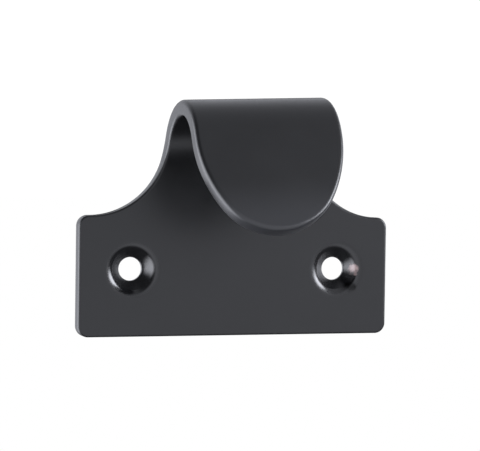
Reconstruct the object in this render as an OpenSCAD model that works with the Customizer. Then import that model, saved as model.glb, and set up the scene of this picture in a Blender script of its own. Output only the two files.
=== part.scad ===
// Sash lift handle: one sheet of metal cut to a shouldered outline, countersunk for two
// screws and bent forwards and down into a round-ended finger hook.
// Millimetres. The origin is midway between the screw holes on the back face. +X runs along
// the plate to the right seen from the front, +Y points into the window, +Z is up.

/* [Plate] */
// width of the plate
plate_width = 60.4; // [56.4:0.5:64.4]
// height of the plate below the screw line
height_below_holes = 12.4; // [8:0.1:20]
// thickness of the sheet
sheet_thickness = 3; // [2.8:0.1:3.6]
// radius of the plate's four outer corners
corner_radius = 2; // [1:0.1:3]

/* [Screw holes] */
// distance between the two screw holes
hole_spacing = 40; // [38:0.5:42]
// diameter of the plain hole
hole_diameter = 4.5; // [3.5:0.1:5]
// diameter of the countersink at the front face
countersink_diameter = 9.8; // [8:0.1:10]
// depth of the countersink below the front face
countersink_depth = 2.6; // [1.5:0.1:2.6]

/* [Neck] */
// width of the neck and of the hook
hook_width = 27.5; // [26:0.1:28.5]
// radius of the two concave shoulders
shoulder_radius = 14.4; // [12:0.1:15]
// height above the screw line where the shoulders run out into the neck
shoulder_top = 24.3; // [22:0.1:26]

/* [Hook] */
// height above the screw line where the bend starts
bend_start = 20.5; // [18:0.5:26]
// inside radius of the bend
bend_radius = 8; // [5:0.5:10]
// angle the sheet is bent through
bend_angle = 151; // [145:1:165]
// tilt of the bend line across the sheet
bend_tilt = 2.5; // [0:0.5:3]
// length of the flat tongue after the bend
tongue_length = 20; // [18:0.5:24]
// radius of the tongue's rounded end
nose_radius = 11.5; // [9:0.1:12]

/* [Hidden] */
$fn = 96;
sheet_color = [0.06, 0.06, 0.065];
half_plate = plate_width / 2;
half_hook = hook_width / 2;
outer_radius = bend_radius + sheet_thickness;
// the bend's axis lies this far in front of the back face
bend_axis_y = -outer_radius;
// the two outlines change over just behind the crown of the bend, and overlap by the thickness
split_y = bend_axis_y + sheet_thickness / 2;
// curved faces stand this far proud of the faces they run into, to meet them in a clean line
blend = 0.01;
// centres of the corner circles and of the shoulder circles
shoulder_x = half_hook + shoulder_radius;
corner_x = half_plate - corner_radius;
centre_gap = shoulder_radius + corner_radius - blend;
corner_z = shoulder_top - sqrt(pow(centre_gap, 2) - pow(shoulder_x - corner_x, 2));
// the tongue's sides stay straight until they are clear of the tilted end of the bend
straight_length = half_hook * tan(bend_tilt) + 0.2;
// the arcs of the tongue's sides swing in from the straight sides to the nose circle
arc_half = half_hook + blend;
nose_z = tongue_length - straight_length - nose_radius;
side_radius = (pow(arc_half, 2) + pow(nose_z, 2) - pow(nose_radius, 2))
            / (2 * (arc_half - nose_radius));
nose_join = nose_z * side_radius / (side_radius - nose_radius);
// longer than the part in every direction
reach = 40;
// how far cutting solids start outside the faces they cut
cut = 1;

module plate_base() {
    translate([-half_plate, corner_radius - height_below_holes])
        square([plate_width, corner_z + height_below_holes - corner_radius]);
    translate([-corner_x, -height_below_holes])
        square([2 * corner_x, corner_z + height_below_holes]);
    for (side = [-1, 1]) {
        translate([side * corner_x, corner_radius - height_below_holes])
            circle(corner_radius);
        translate([side * corner_x, corner_z])
            circle(corner_radius);
    }
}

module shoulders() {
    difference() {
        polygon([
            [-corner_x, corner_z - cut],
            [corner_x, corner_z - cut],
            [corner_x, corner_z],
            [shoulder_x, shoulder_top],
            [-shoulder_x, shoulder_top],
            [-corner_x, corner_z]
        ]);
        for (side = [-1, 1])
            translate([side * shoulder_x, shoulder_top])
                circle(shoulder_radius);
    }
}

// front view of the plate, the shoulders and the neck
module plate_outline() {
    plate_base();
    shoulders();
    translate([-half_hook, 0])
        square([hook_width, reach]);
}

module tongue_side(side) {
    translate([side * (arc_half - side_radius), 0])
        circle(side_radius);
}

// the rounded end of the tongue, measured from where its sides begin to curve
module tongue_end() {
    intersection() {
        tongue_side(1);
        tongue_side(-1);
        translate([-reach, -cut])
            square([2 * reach, cut + nose_join]);
    }
    translate([0, nose_z])
        circle(nose_radius + blend);
}

// the tongue seen square to its face, with the end of the bend on the x axis; its straight
// sides are left wide here
module tongue_outline() {
    translate([-reach, -reach])
        square([2 * reach, reach + straight_length]);
    translate([0, straight_length])
        tongue_end();
}

// side view of everything within a radius of the bend's axis, down the plate and the tongue
module wrap(radius, length) {
    circle(radius);
    translate([0, -reach])
        square([radius, reach]);
    rotate(bend_angle)
        square([radius - blend, length]);
}

// side view of the sheet, measured from the bend's axis
module sheet_profile() {
    difference() {
        wrap(outer_radius, tongue_length + cut);
        wrap(bend_radius, reach);
        polygon([
            [0, 0],
            [0, -reach],
            [-reach * sin(bend_angle), reach * cos(bend_angle)]
        ]);
    }
}

// the bent sheet before it is trimmed to its outline
module bent_sheet() {
    translate([0, 0, bend_start])
        rotate([0, -bend_tilt, 0])
            rotate([90, 0, 90])
                translate([bend_axis_y, 0])
                    linear_extrude(height = 2 * reach, center = true)
                        sheet_profile();
}

// the plate and the rise of the bend are cut to the plate's outline
module plate_trim() {
    translate([0, cut, 0])
        rotate([90, 0, 0])
            linear_extrude(height = cut - split_y)
                plate_outline();
}

// the fall of the bend and the tongue are cut to the hook's width and the tongue's outline
module hook_trim() {
    intersection() {
        translate([0, bend_axis_y, bend_start])
            rotate([bend_angle + 90, 0, 0])
                linear_extrude(height = 2 * reach, center = true)
                    tongue_outline();
        translate([-half_hook, split_y + sheet_thickness - reach, 0])
            cube([hook_width, reach, 2 * reach]);
    }
}

// the countersink's cone starts in front of the face, wider by the same slope
module screw_hole() {
    slope = (countersink_diameter - hole_diameter) / countersink_depth;
    translate([0, cut, 0])
        rotate([90, 0, 0])
            cylinder(h = sheet_thickness + 2 * cut, d = hole_diameter);
    translate([0, -sheet_thickness - cut, 0])
        rotate([-90, 0, 0])
            cylinder(
                h = countersink_depth + cut,
                d1 = countersink_diameter + cut * slope,
                d2 = hole_diameter
            );
}

module lift_plate() {
    color(sheet_color)
        difference() {
            intersection() {
                bent_sheet();
                union() {
                    plate_trim();
                    hook_trim();
                }
            }
            for (side = [-1, 1])
                translate([side * hole_spacing / 2, 0, 0])
                    screw_hole();
        }
}

lift_plate();
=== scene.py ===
"""Sash lift handle: the looks of one bent, black coated steel plate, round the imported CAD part.

The piece is made as the real one is: a flat blank with rounded edges and two countersunk holes,
laid out in x across the sheet and s along it, which is then wrapped round the bend.
Lengths are in millimetres until the mesh is made, and in metres after that.
"""

import math

import bmesh
import bpy
from mathutils import Matrix, Vector


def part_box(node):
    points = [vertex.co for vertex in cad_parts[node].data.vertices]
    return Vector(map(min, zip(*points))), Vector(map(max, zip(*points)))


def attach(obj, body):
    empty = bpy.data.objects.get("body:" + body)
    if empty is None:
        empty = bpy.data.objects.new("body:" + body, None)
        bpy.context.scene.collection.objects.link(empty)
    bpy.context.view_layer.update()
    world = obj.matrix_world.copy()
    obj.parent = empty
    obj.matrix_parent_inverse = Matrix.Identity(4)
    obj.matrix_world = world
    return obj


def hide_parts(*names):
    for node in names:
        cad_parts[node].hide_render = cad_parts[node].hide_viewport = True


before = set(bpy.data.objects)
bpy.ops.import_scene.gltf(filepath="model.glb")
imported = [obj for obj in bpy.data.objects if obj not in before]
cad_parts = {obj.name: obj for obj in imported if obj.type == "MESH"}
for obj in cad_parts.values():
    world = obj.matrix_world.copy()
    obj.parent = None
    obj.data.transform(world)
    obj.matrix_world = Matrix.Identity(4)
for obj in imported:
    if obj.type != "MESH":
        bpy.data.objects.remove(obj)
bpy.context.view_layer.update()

MM = 0.001
NODE = "lift_plate"
SHEET = "sheet"

# the sheet and its flat outline
NODE_LOW, NODE_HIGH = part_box(NODE)
HALF_PLATE = NODE_HIGH[0] / MM
BOTTOM = NODE_LOW[2] / MM
THICKNESS = 3.0
CORNER_RADIUS = 2.0
HALF_HOOK = 13.75
SHOULDER_RADIUS = 14.4
SHOULDER_TOP = 24.3
SHOULDER_X = HALF_HOOK + SHOULDER_RADIUS
CORNER_X = HALF_PLATE - CORNER_RADIUS
CORNER_S = SHOULDER_TOP - math.sqrt(
    (SHOULDER_RADIUS + CORNER_RADIUS) ** 2 - (SHOULDER_X - CORNER_X) ** 2
)

# the bend, measured on the middle of the sheet
BEND_START = 20.5
BEND_RADIUS = 9.5
BEND_ANGLE = math.radians(151)
BEND_TILT = math.radians(2.5)
BEND_AXIS_Y = -BEND_RADIUS - THICKNESS / 2
BEND_END = BEND_START + BEND_RADIUS * BEND_ANGLE

# the tongue's rounded end
TONGUE_LENGTH = 20.0
NOSE_RADIUS = 11.5
STRAIGHT = HALF_HOOK * math.tan(BEND_TILT) + 0.2
ARC_START = BEND_END + STRAIGHT
NOSE_RISE = TONGUE_LENGTH - STRAIGHT - NOSE_RADIUS
SIDE_RADIUS = (HALF_HOOK**2 + NOSE_RISE**2 - NOSE_RADIUS**2) / (
    2 * (HALF_HOOK - NOSE_RADIUS)
)
SIDE_SWEEP = math.atan2(NOSE_RISE, SIDE_RADIUS - HALF_HOOK)

# the screw holes: each countersink is a cone with a rounded rim and a narrow ring of flat face
# round it, in a square patch of the flat faces with so many cells along each side
HOLE_X = 20.0
HOLE_RADIUS = 2.18
SINK_RADIUS = 4.55
SINK_DEPTH = 2.4
RIM_FILLET = 2.4
RIM_RING = 0.3
CONE_DEPTHS = (0.8, 1.3, 1.8, SINK_DEPTH - 0.12)
PATCH_HALF = 7.0
PATCH_CELLS = 16
PATCH_POINTS = 4 * PATCH_CELLS
# from the foot of the countersink to the back face: how far outside the hole's radius, depth
BORE_STEPS = (
    (0.03, SINK_DEPTH - 0.02),
    (0.0, SINK_DEPTH + 0.08),
    (0.0, THICKNESS - 0.15),
    (0.05, THICKNESS - 0.04),
    (0.15, THICKNESS),
    (0.45, THICKNESS),
)

# the mesh's material slots
FLAT_SLOT, SUNK_SLOT, STEEL_SLOT = 0, 1, 2

# edge radii: round the plate, and round the hook and its tip, with the stretch where one turns
# into the other; beside each edge is a row of narrow cells
PLATE_EDGE = 0.5
HOOK_EDGE = 0.8
HOOK_EDGE_START = BEND_START + 4
HOOK_EDGE_RUN = 9
EDGE_STEPS = 8
EDGE_ROW = 0.22

# how finely the outline and the rows between the holes are divided
CORNER_STEPS = 12
LOW_STEPS = 3
SHOULDER_STEPS = 48
BEND_STEPS = 72
TONGUE_SIDE_STEPS = 20
NOSE_STEPS = 40
MIDDLE_CELLS = 7

# corners of one face closer than the first are one corner; points of the mesh closer than the
# second are one point
SAME_CORNER = 1e-9
SAME_POINT = 2e-7

# the coating's two shades; a painted light, a lighter colour down the tongue towards its tip that
# stands in for the brighter reflection there, with the stretch of sheet over which that comes in;
# its colour where it is worn, and two marks in the right countersink, each with a colour and a
# spot given as (centre, radius)
DARK_COLOR = (0.0034, 0.0035, 0.0040)
LIGHT_COLOR = (0.0046, 0.0048, 0.0054)
TIP_PAINTED_LIGHT_COLOR = (0.021, 0.0215, 0.0235)
TIP_PAINTED_LIGHT_REACH = (BEND_END + 9, BEND_END + 19)
WORN_COLOR = (0.22, 0.225, 0.235)
CHIP_COLOR = (0.0008, 0.0008, 0.0008)
CHIP_SPOT = ((23.1, -2.4, -3.4), 1.3)
COPPER_COLOR = (0.33, 0.24, 0.23)
COPPER_SPOT = ((23.7, -2.3, 0.0), 1.15)

# a mark's outline: how far it wanders, and where it fades out and is full, as shares of its radius
SPOT_WANDER = 0.3
SPOT_FADE = (1.1, 0.3)

# the wear along the front edges: the noise levels that start and fill its patches, the depths
# between which it comes in and goes out, and its strength
WEAR_PATCHES = (0.5, 0.68)
WEAR_RISE = (0.05, 0.2)
WEAR_FALL = (0.3, 0.6)
WEAR_STRENGTH = 0.04

# noise patterns: scale, detail and roughness
MOTTLE = (90, 4, 0.5)
GRAIN = (2600, 3, 0.5)
PEEL = (700, 3, 0.5)
WEAR = (260, 5, 0.65)
RAGGED = (1100, 4, 0.5)
GRIME = (1400, 4, 0.5)

# the coating's finish; polish is full at POLISH_DEPTH below the front face of a countersink
ROUGHNESS = (0.3, 0.36)
GRAIN_ROUGHNESS = (-0.03, 0.03)
GRAIN_HEIGHT = 0.35
PEEL_HEIGHT = 0.007
SHINE = 0.5
CHIP_DULLS = 0.4
POLISH_DEPTH = 0.25
POLISH_SMOOTHS = 0.13
POLISH_SHINES = 0.2
GLOSS_FADE = (0.92, 0.8)

# bare steel at the back edge of the holes
STEEL_DARK = (0.55, 0.54, 0.53)
STEEL_LIGHT = (0.8, 0.8, 0.8)
STEEL_METALLIC = 0.85
STEEL_ROUGHNESS = (0.55, 0.4)

# pools of studio light and what cuts them off: axis, where each starts and is full (as cosines),
# strength
BACK_POOL = ((0, 1, 0), -0.15, 0.8, 0.86)
BACK_LOW_CUT = ((0, 0, 1), -0.75, -0.35, 1.0)
TOP_POOL = ((1, 0, 0), -0.35, 0.3, 0.56)
TOP_LOW_CUT = ((0, 0, 1), 0.0, 0.5, 1.0)
FRONT_POOL = ((0, -0.97, -0.2), 0.45, 0.78, 1.07)
LEFT_BOX = ((-0.95, 0.2, -0.15), 0.62, 0.93, 5.6)
LEFT_TOP_CUT = ((0, 0.5, -0.87), -0.65, -0.1, 1.0)
RIGHT_BOX = ((0.88, -0.38, 0.26), 0.92, 0.98, 12)
RIGHT_LOW_CUT = ((0, 0, 1), -0.2, 0.2, 1.0)
RIGHT_BACK_BOX = ((0.93, 0.3, 0.25), 0.85, 0.97, 0.8)
BASE_LEVEL = 0.11
STUDIO_COLOR = (0.93, 0.95, 1.03)

# the pale surround, in metres, and how brightly it glows
FLOOR_RADIUS = 2.9
FLOOR_GAP = 0.0001
FLOOR_GLOW = 1.0
BACKDROP_RADIUS = 3.0
BACKDROP_GLOW = 1.05
WHITE = (1, 1, 1)

# the camera, in metres: the lens is given as focal length over sensor width
CAMERA_AZIMUTH = math.radians(17.93)
CAMERA_ELEVATION = math.radians(1.44)
CAMERA_ROLL = math.radians(0.82)
CAMERA_TARGET = (0.00143, 0, 0.008117)
CAMERA_DISTANCE = 0.3079
CAMERA_NEAR = 0.01
SENSOR_WIDTH = 36
LENS = 3.3936


def steps_between(a, b, count):
    """Evenly spaced values from a to b, both included."""
    return [a + (b - a) * i / count for i in range(count + 1)]


def arc(cx, cs, radius, start, end, steps, inward=False):
    """Points (x, s, outward normal x, s) along a circle; inward marks a concave stretch."""
    flip = -1 if inward else 1
    out = []
    for a in steps_between(start, end, steps):
        nx, ns = math.cos(a), math.sin(a)
        out.append((cx + radius * nx, cs + radius * ns, flip * nx, flip * ns))
    return out


def straight(x, s_values):
    """Points of the same kind up a straight side."""
    return [(x, s, 1.0, 0.0) for s in s_values]


def right_side():
    """The blank's right side, from the bottom corner up and round to the tip of the tongue."""
    join = math.atan2(SHOULDER_TOP - CORNER_S, SHOULDER_X - CORNER_X)
    low = BOTTOM + CORNER_RADIUS
    quarter = math.pi / 2
    pts = arc(CORNER_X, low, CORNER_RADIUS, -quarter, 0, CORNER_STEPS)
    pts += straight(HALF_PLATE, steps_between(low, -PATCH_HALF, LOW_STEPS)[1:])
    pts += straight(HALF_PLATE, steps_between(-PATCH_HALF, PATCH_HALF, PATCH_CELLS)[1:])
    pts += arc(CORNER_X, CORNER_S, CORNER_RADIUS, 0, join, CORNER_STEPS)
    centre = (SHOULDER_X, SHOULDER_TOP, SHOULDER_RADIUS)
    pts += arc(*centre, join + math.pi, math.pi, SHOULDER_STEPS, True)[1:]
    pts += straight(HALF_HOOK, steps_between(SHOULDER_TOP, ARC_START, BEND_STEPS)[1:])
    side_x = HALF_HOOK - SIDE_RADIUS
    pts += arc(side_x, ARC_START, SIDE_RADIUS, 0, SIDE_SWEEP, TONGUE_SIDE_STEPS)[1:]
    nose_s = ARC_START + NOSE_RISE
    pts += arc(0, nose_s, NOSE_RADIUS, SIDE_SWEEP, quarter, NOSE_STEPS)[1:]
    return pts


def edge_radius(s):
    """Edge radius along the sheet: a little softer on the hook than on the plate."""
    into_bend = min(max((s - HOOK_EDGE_START) / HOOK_EDGE_RUN, 0), 1)
    return PLATE_EDGE + (HOOK_EDGE - PLATE_EDGE) * into_bend


def edge_profile(s):
    """(inset, depth) pairs from the front face round the edge to the back face."""
    radius = edge_radius(s)
    turns = steps_between(0, math.pi / 2, EDGE_STEPS)
    front = [(radius * (1 - math.sin(a)), radius * (1 - math.cos(a))) for a in turns]
    back = [(inset, THICKNESS - depth) for inset, depth in reversed(front)]
    return front + back


def wrap(x, s, depth):
    """A point of the blank, at a depth below its front face, once the sheet is bent."""
    off = THICKNESS / 2 - depth
    slope = math.tan(BEND_TILT)
    along = s - x * slope
    if along <= BEND_START:
        return Vector((x, -THICKNESS / 2 - off, s)) * MM
    turn = min((along - BEND_START) / BEND_RADIUS, BEND_ANGLE)
    leg = max(along - BEND_END, 0)
    y = BEND_AXIS_Y + (BEND_RADIUS - off) * math.cos(turn) - leg * math.sin(turn)
    rise = (BEND_RADIUS - off) * math.sin(turn) + leg * math.cos(turn)
    return Vector((x, y, BEND_START + rise / math.cos(BEND_TILT) + x * slope)) * MM


def columns(half):
    """Positions from the left to the right boundary of a row, with the hole patches' lines."""
    full = HALF_PLATE - PLATE_EDGE
    marks = steps_between(0, HOLE_X - PATCH_HALF, MIDDLE_CELLS)[:-1]
    marks += steps_between(HOLE_X - PATCH_HALF, HOLE_X + PATCH_HALF, PATCH_CELLS)
    marks.append((HOLE_X + PATCH_HALF + full - EDGE_ROW) / 2)
    last = half - min(EDGE_ROW, 0.3 * half)
    right = [min(m / full * half, last) for m in marks]
    right += [last, half]
    return [-x for x in reversed(right[1:])] + right


def in_patch(x0, x1, s0, s1):
    """True for a cell of the flat face that a hole patch fills."""
    middle = abs(x0 + x1) / 2
    return abs(middle - HOLE_X) < PATCH_HALF and abs(s0 + s1) / 2 < PATCH_HALF


def add_face(mesh, corners, material=FLAT_SLOT):
    """One face from (x, s, depth) corners, which its points keep for the coating's patterns."""
    layer = mesh.verts.layers.float_vector[SHEET]
    placed = []
    for corner in corners:
        point = wrap(*corner)
        if all((point - other).length > SAME_CORNER for other, _ in placed):
            placed.append((point, corner))
    if len(placed) < 3:
        return
    verts = []
    for point, corner in placed:
        vert = mesh.verts.new(point)
        vert[layer] = Vector(corner)
        verts.append(vert)
    mesh.faces.new(verts).material_index = material


def add_flat_side(mesh, side, depth, ring):
    """The front or the back face: a grid across the sheet, bounded by one ring of the edge."""
    rows = []
    for x, s, nx, ns in side:
        inset = edge_profile(s)[ring][0]
        rows.append((x - inset * nx, s - inset * ns))
    for (x0, s0), (x1, s1) in zip(rows, rows[1:]):
        low, high = columns(x0), columns(x1)
        for j in range(len(low) - 1):
            if in_patch(low[j], low[j + 1], s0, s1):
                continue
            quad = [(low[j], s0), (low[j + 1], s0), (high[j + 1], s1), (high[j], s1)]
            add_face(mesh, [(x, s, depth) for x, s in quad])


def add_edge(mesh, side):
    """The rounded edge all the way round the blank."""
    bottom = [(x, side[0][1], 0.0, -1.0) for x in columns(side[0][0])]
    left = [(-x, s, -nx, ns) for x, s, nx, ns in reversed(side)]
    loop = bottom + side[1:] + left[1:-1]
    rings = []
    for x, s, nx, ns in loop:
        rings.append([(x - d * nx, s - d * ns, v) for d, v in edge_profile(s)])
    for a, b in zip(rings, rings[1:] + rings[:1]):
        for k in range(len(a) - 1):
            add_face(mesh, [a[k], b[k], b[k + 1], a[k + 1]])


def hole_profile():
    """(radius, depth) from the front face down the countersink and out at the back."""
    start = SINK_RADIUS + RIM_FILLET * math.tan(math.pi / 8)
    out = [(start + RIM_RING, 0.0)]
    for a in steps_between(0, math.pi / 4, EDGE_STEPS):
        out.append((start - RIM_FILLET * math.sin(a), RIM_FILLET * (1 - math.cos(a))))
    slope = (SINK_RADIUS - HOLE_RADIUS) / SINK_DEPTH
    out += [(SINK_RADIUS - slope * depth, depth) for depth in CONE_DEPTHS]
    out += [(HOLE_RADIUS + wider, depth) for wider, depth in BORE_STEPS]
    return out


def square_point(k):
    """Point k of the patch's square outline, counted from its lower left corner."""
    edge, step = divmod(k, PATCH_CELLS)
    half = PATCH_HALF
    t = -half + 2 * half * step / PATCH_CELLS
    return ((t, -half), (half, t), (-t, half), (-half, -t))[edge]


def circle_point(k, radius):
    """Point k of a circle, beside the same point of the square outline."""
    a = math.radians(-135) + 2 * math.pi * k / PATCH_POINTS
    return radius * math.cos(a), radius * math.sin(a)


def square_ring(depth):
    return [(*square_point(k), depth) for k in range(PATCH_POINTS)]


def blend_ring(radius, depth):
    """Points half way between the square outline and a circle."""
    out = []
    for k in range(PATCH_POINTS):
        (sx, ss), (cx, cs) = square_point(k), circle_point(k, radius)
        out.append(((sx + cx) / 2, (ss + cs) / 2, depth))
    return out


def add_hole(mesh, centre_x):
    """A countersunk hole and the square patches of flat face round both its ends."""
    profile = hole_profile()
    rings = [square_ring(0.0), blend_ring(*profile[0])]
    for radius, depth in profile:
        rings.append([(*circle_point(k, radius), depth) for k in range(PATCH_POINTS)])
    rings += [blend_ring(*profile[-1]), square_ring(THICKNESS)]
    # the first ring of the countersink's rim, and the ring where the bore's back edge starts
    rim, back_edge = 3, len(rings) - 6
    for i, (a, b) in enumerate(zip(rings, rings[1:])):
        material = SUNK_SLOT if rim <= i < back_edge else FLAT_SLOT
        if i == back_edge:
            material = STEEL_SLOT
        for k in range(PATCH_POINTS):
            m = (k + 1) % PATCH_POINTS
            quad = [a[k], a[m], b[m], b[k]]
            add_face(mesh, [(centre_x + x, s, depth) for x, s, depth in quad], material)


def build_plate():
    """The whole bent plate as one closed mesh."""
    mesh = bmesh.new()
    mesh.verts.layers.float_vector.new(SHEET)
    side = right_side()
    add_flat_side(mesh, side, 0.0, 0)
    add_flat_side(mesh, side, THICKNESS, -1)
    add_edge(mesh, side)
    for sign in (-1, 1):
        add_hole(mesh, sign * HOLE_X)
    bmesh.ops.remove_doubles(mesh, verts=mesh.verts, dist=SAME_POINT)
    bmesh.ops.recalc_face_normals(mesh, faces=mesh.faces)
    for face in mesh.faces:
        face.smooth = True
    data = bpy.data.meshes.new("lift_plate_coated")
    mesh.to_mesh(data)
    mesh.free()
    piece = bpy.data.objects.new("lift_plate_coated", data)
    bpy.context.scene.collection.objects.link(piece)
    return piece


def new_material(name):
    """An empty material and its node tree."""
    material = bpy.data.materials.new(name)
    material.use_nodes = True
    material.node_tree.nodes.clear()
    return material, material.node_tree


def show(tree, shader, output="ShaderNodeOutputMaterial"):
    """Makes a shader the surface that a material or the world shows."""
    tree.links.new(shader.outputs[0], tree.nodes.new(output).inputs["Surface"])


def object_coords(tree):
    """A point's place in the part's own frame."""
    return tree.nodes.new("ShaderNodeTexCoord").outputs["Object"]


def noise(tree, coords, scale, detail, roughness):
    """A noise pattern, mostly between 0.3 and 0.7."""
    node = tree.nodes.new("ShaderNodeTexNoise")
    node.inputs["Scale"].default_value = scale
    node.inputs["Detail"].default_value = detail
    node.inputs["Roughness"].default_value = roughness
    tree.links.new(coords, node.inputs["Vector"])
    return node.outputs["Fac"]


def remap(tree, value, low, high, start=0.3, end=0.7, kind="LINEAR"):
    """The value's range from start to end taken to low to high, and held beyond it."""
    node = tree.nodes.new("ShaderNodeMapRange")
    node.interpolation_type = kind
    node.inputs["From Min"].default_value = start
    node.inputs["From Max"].default_value = end
    node.inputs["To Min"].default_value = low
    node.inputs["To Max"].default_value = high
    tree.links.new(value, node.inputs["Value"])
    return node.outputs["Result"]


def soft_step(tree, value, start, end, full=1.0):
    """0 up to start, easing to full at end."""
    return remap(tree, value, 0.0, full, start, end, "SMOOTHSTEP")


def combine(tree, operation, first, second):
    """A sum, product or the like of two values, either of which may be a plain number."""
    node = tree.nodes.new("ShaderNodeMath")
    node.operation = operation
    for socket, value in zip(node.inputs, (first, second)):
        if isinstance(value, (int, float)):
            socket.default_value = value
        else:
            tree.links.new(value, socket)
    return node.outputs[0]


def between(tree, value, rise, fall):
    """1 where the value is between two soft limits, each given as (start, end)."""
    return combine(tree, "SUBTRACT", soft_step(tree, value, *rise), soft_step(tree, value, *fall))


def mix_color(tree, factor, first, second):
    """A colour that goes from the first to the second, each a plain colour or a node's output."""
    node = tree.nodes.new("ShaderNodeMix")
    node.data_type = "RGBA"
    tree.links.new(factor, node.inputs["Factor"])
    colour_inputs = [socket for socket in node.inputs if socket.type == "RGBA"]
    for socket, value in zip(colour_inputs, (first, second)):
        if isinstance(value, tuple):
            socket.default_value = (*value, 1)
        else:
            tree.links.new(value, socket)
    return next(socket for socket in node.outputs if socket.type == "RGBA")


def spot(tree, coords, centre, radius):
    """A ragged round patch about a point of the plate."""
    gap = tree.nodes.new("ShaderNodeVectorMath")
    gap.operation = "DISTANCE"
    gap.inputs[1].default_value = Vector(centre) * MM
    tree.links.new(coords, gap.inputs[0])
    wander = SPOT_WANDER * radius * MM
    ragged = remap(tree, noise(tree, coords, *RAGGED), -wander, wander)
    reach = combine(tree, "ADD", gap.outputs["Value"], ragged)
    return soft_step(tree, reach, *(share * radius * MM for share in SPOT_FADE))


def sheet_place(tree):
    """How far up the sheet a point is, and how far below the front face."""
    sheet = tree.nodes.new("ShaderNodeAttribute")
    sheet.attribute_name = SHEET
    split = tree.nodes.new("ShaderNodeSeparateXYZ")
    tree.links.new(sheet.outputs["Vector"], split.inputs[0])
    return split.outputs["Y"], split.outputs["Z"]


def edge_wear(tree, coords, depth):
    """How far the coating is rubbed off: patchy, along the front edges."""
    patchy = remap(tree, noise(tree, coords, *WEAR), 0, 1, *WEAR_PATCHES)
    strength = combine(tree, "MULTIPLY", patchy, WEAR_STRENGTH)
    return combine(tree, "MULTIPLY", between(tree, depth, WEAR_RISE, WEAR_FALL), strength)


def gloss_left(tree):
    """The share of the gloss that the coating's fine roughness leaves, none seen edge on."""
    weight = tree.nodes.new("ShaderNodeLayerWeight")
    weight.inputs["Blend"].default_value = 0.5
    return soft_step(tree, weight.outputs["Facing"], *GLOSS_FADE)


def coating_material(name, sunk):
    """Black coating on steel: a fine orange peel, a soft mottle, uneven gloss and worn edges.

    Where it is sunk, down the countersinks, it is unworn and gets glossier with depth.
    """
    material, tree = new_material(name)
    coords = object_coords(tree)
    along, depth = sheet_place(tree)
    mottle = noise(tree, coords, *MOTTLE)
    grain = noise(tree, coords, *GRAIN)
    peel = noise(tree, coords, *PEEL)
    # painted light: the colour grows lighter down the tongue towards its tip, in place of the
    # brighter reflection there
    tip_painted_light = soft_step(tree, along, *TIP_PAINTED_LIGHT_REACH)
    worn = combine(tree, "MULTIPLY", edge_wear(tree, coords, depth), 1 - sunk)
    polish = combine(tree, "MULTIPLY", soft_step(tree, depth, 0.0, POLISH_DEPTH), sunk)
    chip = spot(tree, coords, *CHIP_SPOT)
    copper = spot(tree, coords, *COPPER_SPOT)

    colour = mix_color(tree, remap(tree, mottle, 0, 1), DARK_COLOR, LIGHT_COLOR)
    # the painted light towards the tongue's tip
    colour = mix_color(tree, tip_painted_light, colour, TIP_PAINTED_LIGHT_COLOR)
    colour = mix_color(tree, worn, colour, WORN_COLOR)
    colour = mix_color(tree, chip, colour, CHIP_COLOR)
    colour = mix_color(tree, copper, colour, COPPER_COLOR)

    uneven = remap(tree, grain, *GRAIN_ROUGHNESS)
    rough = combine(tree, "ADD", remap(tree, mottle, *ROUGHNESS), uneven)
    smoothed = combine(tree, "MULTIPLY", polish, POLISH_SMOOTHS)
    rough = combine(tree, "SUBTRACT", rough, smoothed)

    shine = combine(tree, "ADD", SHINE, combine(tree, "MULTIPLY", polish, POLISH_SHINES))
    shine = combine(tree, "SUBTRACT", shine, combine(tree, "MULTIPLY", chip, CHIP_DULLS))
    shine = combine(tree, "MULTIPLY", shine, gloss_left(tree))

    height = combine(tree, "ADD", combine(tree, "MULTIPLY", grain, GRAIN_HEIGHT), peel)
    bump = tree.nodes.new("ShaderNodeBump")
    bump.inputs["Distance"].default_value = PEEL_HEIGHT * MM
    tree.links.new(height, bump.inputs["Height"])

    shader = tree.nodes.new("ShaderNodeBsdfPrincipled")
    tree.links.new(colour, shader.inputs["Base Color"])
    tree.links.new(rough, shader.inputs["Roughness"])
    tree.links.new(shine, shader.inputs["Specular IOR Level"])
    tree.links.new(bump.outputs["Normal"], shader.inputs["Normal"])
    show(tree, shader)
    return material


def bare_material(name):
    """Dull bare steel, where the coating is rubbed off the back edge of the holes."""
    material, tree = new_material(name)
    grime = noise(tree, object_coords(tree), *GRIME)
    colour = mix_color(tree, remap(tree, grime, 0, 1), STEEL_DARK, STEEL_LIGHT)
    shader = tree.nodes.new("ShaderNodeBsdfPrincipled")
    shader.inputs["Metallic"].default_value = STEEL_METALLIC
    tree.links.new(colour, shader.inputs["Base Color"])
    tree.links.new(remap(tree, grime, *STEEL_ROUGHNESS), shader.inputs["Roughness"])
    show(tree, shader)
    return material


def glow_material(name, glow):
    """A plain white surface that is bright enough to show no shadow."""
    material, tree = new_material(name)
    shader = tree.nodes.new("ShaderNodeEmission")
    shader.inputs["Color"].default_value = (*WHITE, 1)
    shader.inputs["Strength"].default_value = glow
    show(tree, shader)
    return material


def stage_object(name, mesh, glow):
    """Part of the pale surround: it is seen, and it neither lights the plate nor shades it."""
    data = bpy.data.meshes.new(name)
    mesh.to_mesh(data)
    mesh.free()
    data.materials.append(glow_material(name + "_white", glow))
    thing = bpy.data.objects.new(name, data)
    bpy.context.scene.collection.objects.link(thing)
    thing.visible_diffuse = False
    thing.visible_glossy = False
    thing.visible_transmission = False
    thing.visible_shadow = False
    return thing


def make_surround():
    """A plain pale floor that the plate stands on, and a plain pale backdrop all round."""
    mesh = bmesh.new()
    bmesh.ops.create_circle(mesh, cap_ends=True, segments=96, radius=FLOOR_RADIUS)
    floor = stage_object("floor", mesh, FLOOR_GLOW)
    floor.location = (0, 0, NODE_LOW[2] - FLOOR_GAP)
    mesh = bmesh.new()
    bmesh.ops.create_uvsphere(mesh, u_segments=48, v_segments=24, radius=BACKDROP_RADIUS)
    stage_object("backdrop", mesh, BACKDROP_GLOW)


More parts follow.
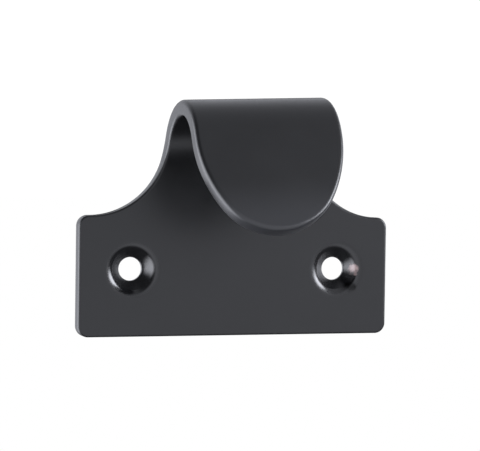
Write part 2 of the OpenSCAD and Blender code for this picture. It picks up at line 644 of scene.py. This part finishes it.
def lobe(tree, direction, axis, start, end, strength):
    """A soft pool of light round one direction of the studio."""
    dot = tree.nodes.new("ShaderNodeVectorMath")
    dot.operation = "DOT_PRODUCT"
    dot.inputs[1].default_value = Vector(axis).normalized()
    tree.links.new(direction, dot.inputs[0])
    return soft_step(tree, dot.outputs["Value"], start, end, strength)


def make_world():
    """The light of the studio: soft boxes at both sides, bright behind, in front and above."""
    world = bpy.data.worlds.new("studio")
    bpy.context.scene.world = world
    world.use_nodes = True
    tree = world.node_tree
    tree.nodes.clear()
    direction = tree.nodes.new("ShaderNodeTexCoord").outputs["Generated"]

    def light(pool, cut=None):
        level = lobe(tree, direction, *pool)
        if cut is None:
            return level
        return combine(tree, "MULTIPLY", level, lobe(tree, direction, *cut))

    level = light(BACK_POOL, BACK_LOW_CUT)
    for wide in (light(TOP_POOL, TOP_LOW_CUT), light(FRONT_POOL)):
        level = combine(tree, "MAXIMUM", level, wide)
    boxes = (light(LEFT_BOX, LEFT_TOP_CUT), light(RIGHT_BOX, RIGHT_LOW_CUT), light(RIGHT_BACK_BOX))
    for added in (*boxes, BASE_LEVEL):
        level = combine(tree, "ADD", level, added)
    shader = tree.nodes.new("ShaderNodeBackground")
    shader.inputs["Color"].default_value = (*STUDIO_COLOR, 1)
    tree.links.new(level, shader.inputs["Strength"])
    show(tree, shader, "ShaderNodeOutputWorld")


def make_camera():
    """A long lens from a little above and to the left of the object's front."""
    level = math.cos(CAMERA_ELEVATION)
    back = Vector(
        (
            -math.sin(CAMERA_AZIMUTH) * level,
            -math.cos(CAMERA_AZIMUTH) * level,
            math.sin(CAMERA_ELEVATION),
        )
    )
    right = (-back).cross(Vector((0, 0, 1))).normalized()
    up = right.cross(-back)
    tilted_right = right * math.cos(CAMERA_ROLL) + up * math.sin(CAMERA_ROLL)
    tilted_up = up * math.cos(CAMERA_ROLL) - right * math.sin(CAMERA_ROLL)
    turn = Matrix((tilted_right, tilted_up, back)).transposed().to_4x4()
    data = bpy.data.cameras.new("camera")
    data.sensor_fit = "HORIZONTAL"
    data.sensor_width = SENSOR_WIDTH
    data.lens = SENSOR_WIDTH * LENS
    data.clip_start = CAMERA_NEAR
    camera = bpy.data.objects.new("camera", data)
    camera.matrix_world = Matrix.Translation(Vector(CAMERA_TARGET) + back * CAMERA_DISTANCE) @ turn
    bpy.context.scene.collection.objects.link(camera)
    bpy.context.scene.camera = camera


make_camera()
make_world()
make_surround()
bpy.context.scene.view_settings.view_transform = "Standard"

plate = build_plate()
# in the order of the mesh's material slots
plate.data.materials.append(coating_material("black_coating_flat", 0))
plate.data.materials.append(coating_material("black_coating_sunk", 1))
plate.data.materials.append(bare_material("bare_steel"))
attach(plate, "root")
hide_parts(NODE)
